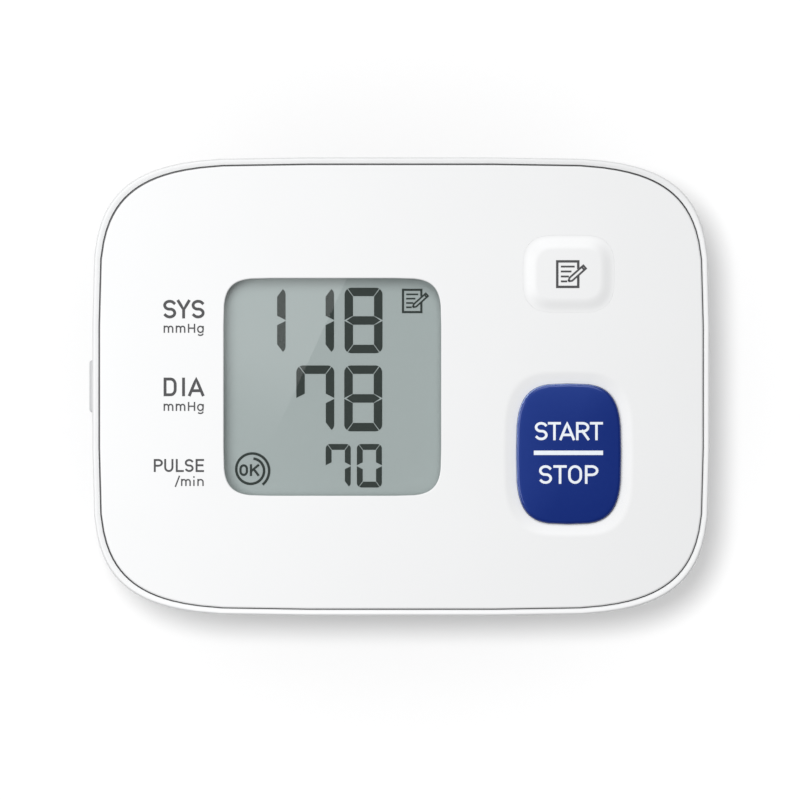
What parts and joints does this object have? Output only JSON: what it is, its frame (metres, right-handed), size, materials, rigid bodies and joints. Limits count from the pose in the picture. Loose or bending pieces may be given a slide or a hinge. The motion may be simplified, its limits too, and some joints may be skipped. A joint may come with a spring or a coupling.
{
  "type": "wrist blood pressure monitor",
  "caption": "Wrist blood pressure monitor: cushion-cornered white case with a square display, a blue start key and a memory key, on a wrist cuff that opens at a flap.",
  "frame": {"origin": "on the surface that the closed cuff stands on, under the middle of the case", "axes": "+Z out of the display, +X to the right of the display, +Y to its top and along the forearm"},
  "size_m": [0.0846, 0.0624, 0.0737],
  "materials": {
    "white_plastic": "satin moulded shell",
    "blue_plastic": "gloss key",
    "clear_lens": "clear window",
    "display_glass": "grey-green liquid crystal glass",
    "black_plastic": "moulded",
    "grey_plastic": "moulded",
    "dark_rubber": "plain",
    "clear_silicone": "soft tube",
    "board": "solder mask",
    "steel": "plated",
    "brass": "turned",
    "red_lead": "insulated wire",
    "black_lead": "insulated wire",
    "cell_sleeve": "printed sleeve",
    "grey_fabric": "woven nylon",
    "dark_fabric": "brushed loop lining",
    "bladder_film": "welded film"
  },
  "bodies": {
    "case": {"rear_case": "white_plastic", "front_cover": "white_plastic", "lcd_window": "clear_lens", "lcd_panel": "display_glass", "lcd_holder": "black_plastic", "zebra_strip_upper": "dark_rubber", "zebra_strip_lower": "dark_rubber", "start_switch": "black_plastic", "memory_switch": "black_plastic", "main_board": "board", "processor": "black_plastic", "pressure_sensor": "grey_plastic", "sensor_tube": "clear_silicone", "case_screw_1": "steel", "case_screw_2": "steel", "case_screw_3": "steel", "case_screw_4": "steel", "board_screw_1": "steel", "board_screw_2": "steel", "board_screw_3": "steel", "motor_can": "steel", "pump_head": "grey_plastic", "pump_diaphragm": "dark_rubber", "pump_cap": "grey_plastic", "air_manifold": "grey_plastic", "pump_tube": "clear_silicone", "valve_tube": "clear_silicone", "cuff_tube": "clear_silicone", "valve_body": "black_plastic", "valve_cap": "steel", "valve_spring": "steel", "battery_1": "cell_sleeve", "battery_2": "cell_sleeve", "battery_tray": "black_plastic", "bridge_contact": "steel", "negative_contact": "steel", "positive_contact": "steel", "positive_lead": "red_lead", "negative_lead": "black_lead", "motor_lead_1": "red_lead", "motor_lead_2": "black_lead", "cuff_saddle": "grey_plastic", "cuff_sheath": "grey_fabric", "cuff_curler": "white_plastic", "air_bladder": "bladder_film", "cuff_lining": "dark_fabric"},
    "start_key": {"start_button": "blue_plastic", "start_plunger": "grey_plastic"},
    "memory_key": {"memory_button": "white_plastic", "memory_plunger": "grey_plastic"},
    "battery_door": {"battery_cover": "white_plastic"},
    "flap": {"flap_sheath": "grey_fabric", "flap_pad": "bladder_film", "flap_lining": "dark_fabric", "cuff_strap": "grey_fabric", "hook_pad": "dark_fabric"},
    "rotor": {"motor_rotor": "brass"},
    "valve_core": {"valve_plunger": "steel"}
  },
  "joints": [
    {"name": "start_press", "type": "slide", "parent": "case", "child": "start_key", "axis": [0, 0, -1], "range_m": [0, 0.0005], "stiffness_N_per_m": 1500},
    {"name": "memory_press", "type": "slide", "parent": "case", "child": "memory_key", "axis": [0, 0, -1], "range_m": [0, 0.0005], "stiffness_N_per_m": 1500},
    {"name": "battery_door_slide", "type": "slide", "parent": "case", "child": "battery_door", "axis": [-1, 0, 0], "range_m": [0, 0.028]},
    {"name": "flap_fold", "type": "hinge", "parent": "case", "child": "flap", "pos_m": [-0.02741, 0, 0.00684], "axis": [0, 1, 0], "range_deg": [0, 100]},
    {"name": "rotor_spin", "type": "hinge", "parent": "case", "child": "rotor", "pos_m": [0.02, 0, 0.0588], "axis": [0, 1, 0], "continuous": true},
    {"name": "valve_slide", "type": "slide", "parent": "case", "child": "valve_core", "axis": [0, 1, 0], "range_m": [0, 0.0008], "stiffness_N_per_m": 300, "deforming": ["valve_spring"]}
  ]
}
